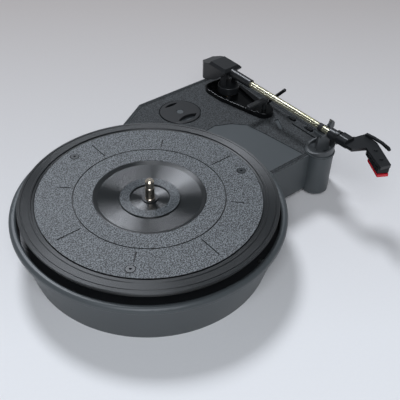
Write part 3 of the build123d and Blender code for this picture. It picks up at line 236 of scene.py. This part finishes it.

# ---- Platter
# A disc moulded in slate-grey polystyrene. Its rings and dish are turned smooth, so light runs
# across them in radial fans; only the raised label ring in the middle is spark-eroded, and its
# light and dark specks are painted glints and painted shade in the pits.
slate, tree, shader, place = new_material("turned_polystyrene_platter")
radius = from_spindle(tree, place)
label_from, label_to, label_fade = 0.0155, 0.0235, 0.0003
label = maths(
    tree, "MULTIPLY", between(tree, radius, label_from, label_from + label_fade),
    between(tree, radius, label_to, label_to - label_fade))
# the eroded pits are near 0.5 mm on the real face, drawn 0.8 mm wide so that they show;
# their specks are coloured as painted glints and painted shade
pits = noise(tree, place, 1150.0, detail=1.5, roughness=0.6)
painted_glint_and_shade_specks = ramp(tree, pits, "#26292b", "#62676a", 0.40, 0.62)
clear = ramp(tree, noise(tree, place, 25.0, detail=3.0), "#191b1c", "#222526")
# the ring round the mat is duller than the dish
ring_from, ring_full = 0.084, 0.086
outer = between(tree, radius, ring_from, ring_full, 0.0, 0.16)
dull = maths(tree, "ADD", between(tree, label, 0.0, 1.0, 0.3, 0.55), outer)
# turning lines 0.25 mm apart, as a wave of the radius
line_gap = 0.00025
wave = maths(tree, "SINE", maths(tree, "MULTIPLY", radius, 2 * np.pi / line_gap))
lines = add(tree, "ShaderNodeMix", {"Factor": label, 2: wave, 3: pits}).outputs[0]
around = add(tree, "ShaderNodeTangent", {}, direction_type="RADIAL", axis="Z")
feed(tree, shader, {
    "Base Color": blend(tree, label, clear, painted_glint_and_shade_specks),
    "Roughness": dull,
    "Normal": relief(tree, lines, 0.35, 0.00004),
    "Tangent": around.outputs["Tangent"],
    "Anisotropic": 0.95,
    "Anisotropic Rotation": 0.25,
    "IOR": 1.59})
dress(["platter"], slate)

# ---- Mat
# The record lies on this raised annulus, moulded in the same slate grey and spark-eroded all
# over. Its bright and dark specks are painted glints and painted shade in the pits; the marks
# and ring are plain cuts, coloured near black as painted shade in the grooves.
grit, tree, shader, place = new_material("spark_eroded_polystyrene_mat")
# pits near 0.5 mm, drawn 0.8 mm wide so that they show; their specks are painted glints and
# painted shade
pits = noise(tree, place, 1150.0, detail=1.5, roughness=0.6)
painted_glint_and_shade_specks = ramp(tree, pits, "#121415", "#74797c", 0.42, 0.60)
height = above_floor(tree, place)
# painted shade: everything below the mat's face, in the cuts, is coloured near black
cut_level, face_level = 0.0518, 0.05195
feed(tree, shader, {
    "Base Color": blend(
        tree, between(tree, height, cut_level, face_level), linear("#040505"), painted_glint_and_shade_specks),
    "Normal": relief(tree, pits, 0.8, 0.0004),
    "Roughness": 0.5})
dress(["mat"], grit)

# ---- Mat buttons
# Smooth black caps pressed through the mat, each with a small blind hole. Polished mould steel
# leaves them even, with hardly a flow mark.
cap, tree, shader, place = new_material("moulded_ABS_caps")
flow = noise(tree, place, 300.0)
feed(tree, shader, {"Base Color": ramp(tree, flow, "#26292b", "#323638"), "Roughness": 0.35})
dress(["mat_buttons"], cap)

# ---- Spindle
# A turned steel pin, nickel plated: warm and bright, with fine rings left by the lathe, 0.6 mm
# apart.
nickel, tree, shader, place = new_material("plated_nickel")
height = above_floor(tree, place)
ring_gap = 0.0006
rings = maths(tree, "SINE", maths(tree, "MULTIPLY", height, 2 * np.pi / ring_gap))
feed(tree, shader, {
    "Base Color": linear("#cfc4b4"),
    "Metallic": 1.0,
    "Roughness": 0.2,
    "Normal": relief(tree, rings, 0.3, 0.00003)})
dress(["spindle"], nickel)

# ---- Thrust washer
# Natural nylon, turned from rod: a milky cream colour that is slightly cloudy, with the soft
# gloss of a cut face.
nylon, tree, shader, place = new_material("turned_nylon")
milky = noise(tree, place, 200.0)
feed(tree, shader, {"Base Color": ramp(tree, milky, "#cfcbc0", "#dedad0")})
dress(["thrust_washer"], nylon)

# ---- Grommets, belt and tube sleeve
# Black nitrile rubber, moulded: matt, with a faint grey bloom that rises to the surface as it
# ages.
nitrile, tree, shader, place = new_material("moulded_nitrile_rubber")
bloom = noise(tree, place, 150.0, detail=5.0)
feed(tree, shader, {"Base Color": ramp(tree, bloom, "#141414", "#232323"), "Roughness": 0.7})
dress(["motor_grommets", "drive_belt", "tube_sleeve"], nitrile)

# ---- Motor
# A drawn steel can, plated with zinc. The crystals of the plating, about 4 mm across, catch the
# light unevenly.
zinc, tree, shader, place = new_material("plated_zinc")
spangle = add(tree, "ShaderNodeTexVoronoi", {"Vector": place, "Scale": 250.0}).outputs["Distance"]
feed(tree, shader, {
    "Base Color": linear("#8e9294"),
    "Metallic": 1.0,
    "Roughness": between(tree, spangle, 0.0, 1.0, 0.3, 0.45)})
dress(["motor"], zinc)

# ---- Circuit board
# Woven glass laminate under a green solder mask: glossy, with the cloth showing through as
# slightly lighter threads.
laminate, tree, shader, place = new_material("solder_masked_laminate")
weave = add(tree, "ShaderNodeTexWave", {"Vector": place, "Scale": 300.0, "Distortion": 2.0})
threads = ramp(tree, weave.outputs["Fac"], "#1f4a2c", "#2a5c38")
feed(tree, shader, {"Base Color": threads, "Roughness": 0.35})
dress(["circuit_board"], laminate)

# ---- Bearing bush
# A turned brass bush: yellow and bright, with duller patches where the cut metal has begun to
# tarnish.
brass, tree, shader, place = new_material("turned_brass")
tarnish = noise(tree, place, 400.0)
feed(tree, shader, {
    "Base Color": linear("#c8a45e"),
    "Metallic": 1.0,
    "Roughness": between(tree, tarnish, 0.0, 1.0, 0.2, 0.4)})
dress(["bearing_bush"], brass)

# ---- Arm base and cartridge
# A polished black ABS tray carries the tonearm's bearing, and its edges and lip catch light.
# The cartridge's body has the same polish.
polished, tree, shader, place = new_material("polished_ABS")
haze = noise(tree, place, 120.0, detail=5.0)
feed(tree, shader, {
    "Base Color": linear("#090a0b"),
    "Roughness": between(tree, haze, 0.0, 1.0, 0.12, 0.28),
    "Specular IOR Level": 0.3})
dress(["arm_base", "cartridge"], polished)

# ---- Tonearm mouldings
# Housing, turret, headshell, levers and the adapter disc are near-black ABS with a faint
# satin grain.
satin, tree, shader, place = new_material("satin_ABS")
# a 0.4 mm grain, drawn 0.8 mm wide so that it shows
grain = noise(tree, place, 1200.0)
feed(tree, shader, {
    "Base Color": ramp(tree, grain, "#121314", "#202224"),
    "Normal": relief(tree, grain, 0.25, 0.0001),
    "Roughness": 0.36})
dress(
    ["arm_turret", "pivot_block", "arm_housing", "headshell", "finger_lift", "cue_lever",
     "cue_platform", "speed_slider", "stop_slider", "cartridge_screws", "adapter_45"], satin)

# ---- Arm rest and clip
# Natural-black ABS without extra pigment comes out a mid charcoal grey. It is moulded smooth
# and pressed into the tower; the clip is a loose piece of the same plastic.
pale, tree, shader, place = new_material("moulded_ABS_grey")
flow = noise(tree, place, 90.0, detail=4.0, distortion=0.6)
feed(tree, shader, {"Base Color": ramp(tree, flow, "#3a3d3e", "#4b4e50"), "Roughness": 0.32})
dress(["arm_rest", "arm_clip"], pale)

# ---- Counterweight
# A plain cast iron block inside the housing, dull grey, with the rough skin that the sand mould
# leaves on it.
iron, tree, shader, place = new_material("cast_iron")
sand = noise(tree, place, 900.0, detail=4.0)
feed(tree, shader, {
    "Base Color": linear("#3a3b3c"),
    "Metallic": 1.0,
    "Roughness": 0.6,
    "Normal": relief(tree, sand, 0.5, 0.0003)})
dress(["counterweight"], iron)

# ---- Tonearm tube
# Drawn aluminium tube, anodised a pale champagne; the drawing leaves fine lines along it, 0.4 mm
# apart round the tube.
anodised, tree, shader, place = new_material("anodised_aluminium_tube")
stretch = add(tree, "ShaderNodeMapping", {"Vector": place, "Scale": (1.0, 0.01, 1.0)})
drawn = noise(tree, stretch.outputs["Vector"], 2500.0)
feed(tree, shader, {
    "Base Color": ramp(tree, drawn, "#a8a488", "#efecd6", 0.3, 0.7),
    "Metallic": 1.0,
    "Roughness": 0.3})
dress(["arm_tube"], anodised)

# ---- Lock ring
# An aluminium ring turned from bar and anodised nearly black; the cut leaves its gloss a little
# uneven.
dark_ring, tree, shader, place = new_material("anodised_aluminium_ring")
cut = noise(tree, place, 1500.0)
feed(tree, shader, {
    "Base Color": linear("#2c2d2d"),
    "Metallic": 0.6,
    "Roughness": between(tree, cut, 0.0, 1.0, 0.25, 0.45)})
dress(["lock_ring"], dark_ring)

# ---- Stylus holder
# Bright red ABS clip that pulls off the cartridge to change the stylus. The pigment is mixed
# slightly unevenly.
red, tree, shader, place = new_material("moulded_red_ABS")
flow = noise(tree, place, 500.0)
feed(tree, shader, {"Base Color": ramp(tree, flow, "#b01020", "#c81428"), "Roughness": 0.25})
dress(["stylus_holder"], red)
